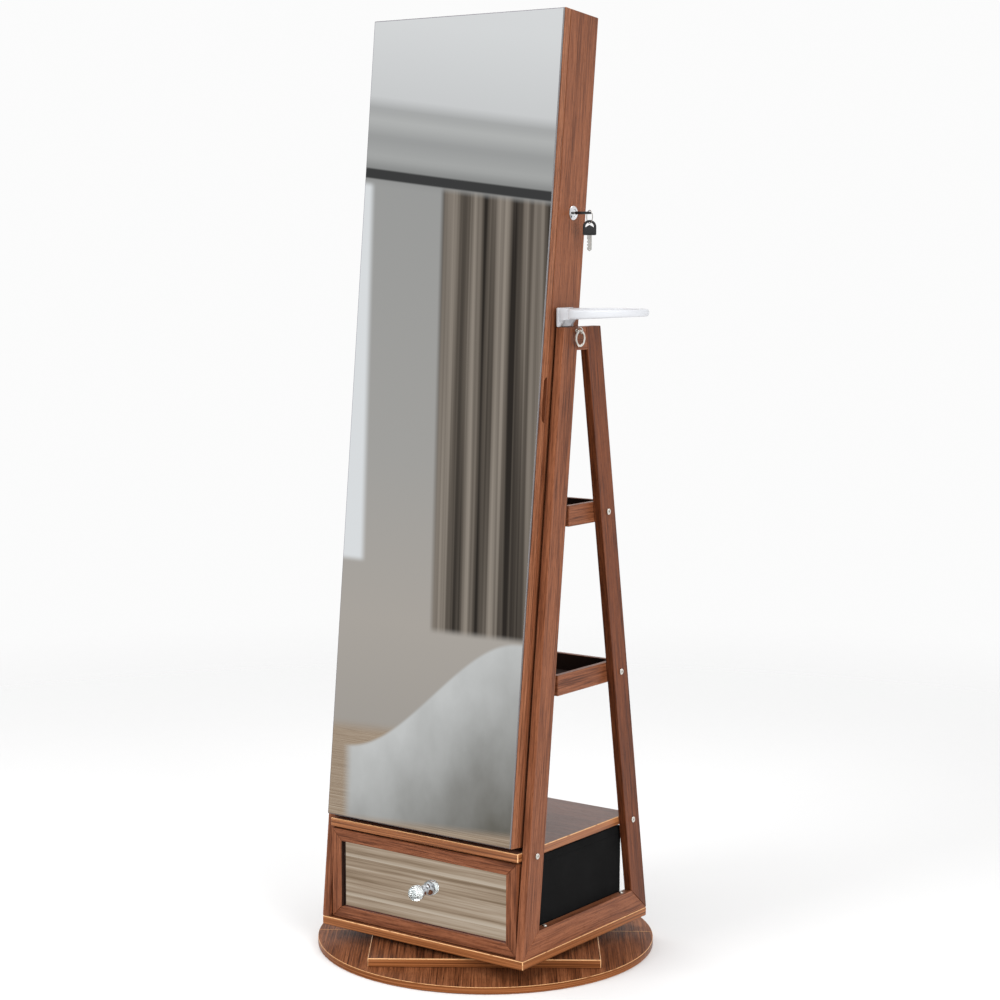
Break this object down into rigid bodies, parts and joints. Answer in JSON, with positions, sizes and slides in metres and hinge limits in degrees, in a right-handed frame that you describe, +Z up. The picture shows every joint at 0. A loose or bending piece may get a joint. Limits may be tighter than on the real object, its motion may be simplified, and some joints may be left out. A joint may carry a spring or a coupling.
{
  "type": "swivel_mirror_jewelry_cabinet",
  "caption": "Tall leaning mirror cabinet on a round swivel base, in brown wood, with a lockable mirror door, rear trays, a mirrored drawer and a dryer holder",
  "frame": {"origin": "on the swivel axis at floor level, under the middle of the round base", "axes": "X to the cabinet's right seen from its front, Y to its back, Z up"},
  "size_m": [0.65, 0.5938, 1.6],
  "materials": {
    "wood": "brown wood-grain laminate, satin",
    "dark_wood": "darker brown wood-grain laminate, satin",
    "mirror": "silvered float glass with polished edges",
    "fabric": "black non-woven fabric, matte",
    "velvet": "black flock, matte",
    "nickel": "nickel plated steel",
    "chrome": "bright chrome",
    "zinc": "zinc plated pressed steel",
    "white_plastic": "moulded, satin",
    "black_plastic": "moulded key head, satin",
    "crystal": "clear, facet cut"
  },
  "bodies": {
    "base": {"base_half_front": "dark_wood", "base_half_rear": "dark_wood", "base_plate": "wood", "swivel_lower_plate": "zinc"},
    "ball_ring": {"swivel_ball_ring": "zinc"},
    "turntable": {"swivel_upper_plate": "zinc", "bottom_board": "wood", "left_front_post": "wood", "left_rear_post": "wood", "left_bottom_rail": "wood", "left_cross_rail": "wood", "right_front_post": "wood", "right_rear_post": "wood", "right_bottom_rail": "wood", "right_cross_rail": "wood", "shelf_board": "wood", "lower_tray": "wood", "upper_tray": "wood", "left_spacer": "dark_wood", "right_spacer": "dark_wood", "left_front_shelf_bolt": "nickel", "left_rear_shelf_bolt": "nickel", "left_lower_tray_bolt": "nickel", "left_upper_tray_bolt": "nickel", "right_front_shelf_bolt": "nickel", "right_rear_shelf_bolt": "nickel", "right_lower_tray_bolt": "nickel", "right_upper_tray_bolt": "nickel", "cabinet_left_side": "wood", "cabinet_right_side": "wood", "cabinet_bottom": "wood", "cabinet_top": "wood", "cabinet_back": "wood", "inner_shelf": "wood", "ring_cushion": "velvet", "earring_board": "velvet", "necklace_rail": "wood", "lower_hinge_frame_leaf": "nickel", "upper_hinge_frame_leaf": "nickel", "lock_housing": "chrome", "dryer_holder": "white_plastic", "ring_eye": "nickel"},
    "door": {"door_panel": "wood", "door_mirror": "mirror", "lower_hinge_door_leaf": "nickel", "upper_hinge_door_leaf": "nickel", "lock_strike": "zinc"},
    "drawer": {"drawer_bottom_rail": "wood", "drawer_top_rail": "wood", "drawer_left_rail": "wood", "drawer_right_rail": "wood", "drawer_mirror": "mirror", "drawer_bin": "fabric", "knob_base": "chrome", "knob_crystal": "crystal"},
    "lock_plug": {"lock_plug": "chrome"},
    "key": {"key": "black_plastic"},
    "key_ring": {"key_ring": "nickel", "spare_key": "black_plastic"},
    "hanging_ring": {"hanging_ring": "nickel"}
  },
  "joints": [
    {"name": "swivel", "type": "hinge", "parent": "base", "child": "turntable", "pos_m": [0, 0, 0.0313], "axis": [0, 0, 1], "continuous": true},
    {"name": "ball_ring", "type": "hinge", "parent": "base", "child": "ball_ring", "pos_m": [0, 0, 0.0313], "axis": [0, 0, 1], "continuous": true},
    {"name": "door", "type": "hinge", "parent": "turntable", "child": "door", "pos_m": [-0.1993, -0.18075, 0.23798], "axis": [0, -0.1045, -0.9945], "range_deg": [0, 110]},
    {"name": "drawer", "type": "slide", "parent": "turntable", "child": "drawer", "axis": [0, -1, 0], "range_m": [0, 0.24]},
    {"name": "lock", "type": "hinge", "parent": "turntable", "child": "lock_plug", "pos_m": [0.196, -0.02895, 1.2738], "axis": [1, 0, 0], "range_deg": [0, 90]},
    {"name": "key", "type": "slide", "parent": "lock_plug", "child": "key", "axis": [1, 0, 0], "range_m": [0, 0.024]},
    {"name": "key_ring", "type": "hinge", "parent": "key", "child": "key_ring", "pos_m": [0.2281, -0.02895, 1.2738], "axis": [0.866, -0.5, 0], "range_deg": [-18, 18]},
    {"name": "hanging_ring", "type": "hinge", "parent": "turntable", "child": "hanging_ring", "pos_m": [0.2235, -0.04667, 1.0824], "axis": [0, -1, 0], "range_deg": [-11, 100]}
  ],
  "couplings": [
    {"joint": "ball_ring", "follows": "swivel", "ratio": 0.5}
  ]
}
